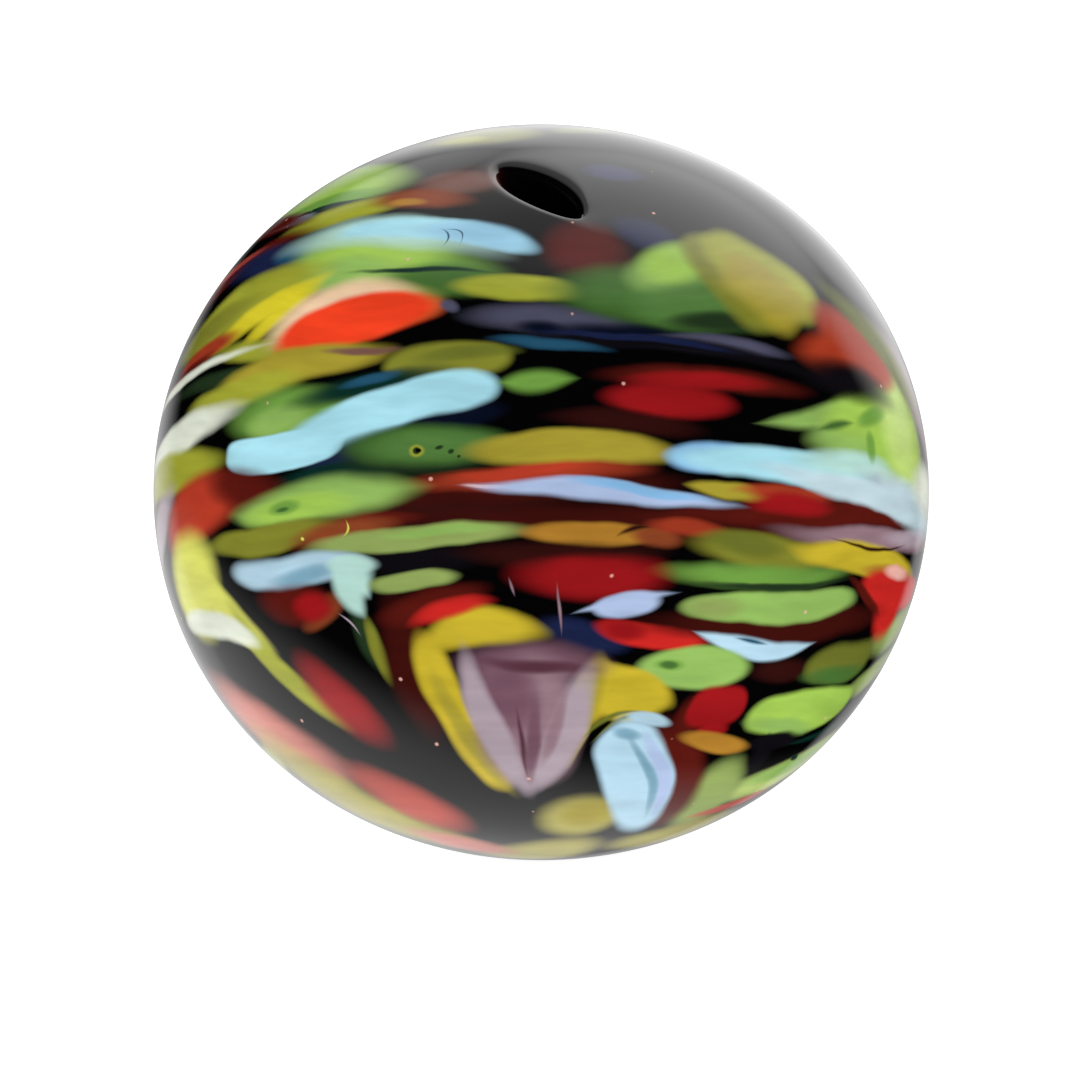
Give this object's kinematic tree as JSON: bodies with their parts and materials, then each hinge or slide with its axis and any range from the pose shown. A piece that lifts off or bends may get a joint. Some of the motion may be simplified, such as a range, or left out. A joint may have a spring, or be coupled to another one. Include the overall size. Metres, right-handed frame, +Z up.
{
  "type": "glass bead",
  "caption": "Slightly flattened round bead of black glass with streaks of coloured glass melted in flush, and a thread hole through its short axis.",
  "frame": {"origin": "centre of the lower mouth, in the plane of its rim, on which the bead stands", "axes": "+Z up along the thread hole, -Y toward the face that the picture shows, +X to the right of that face"},
  "size_m": [0.024, 0.024, 0.022],
  "materials": {
    "glass": "gloss"
  },
  "bodies": {
    "root": {"bead": "glass"}
  },
  "joints": []
}
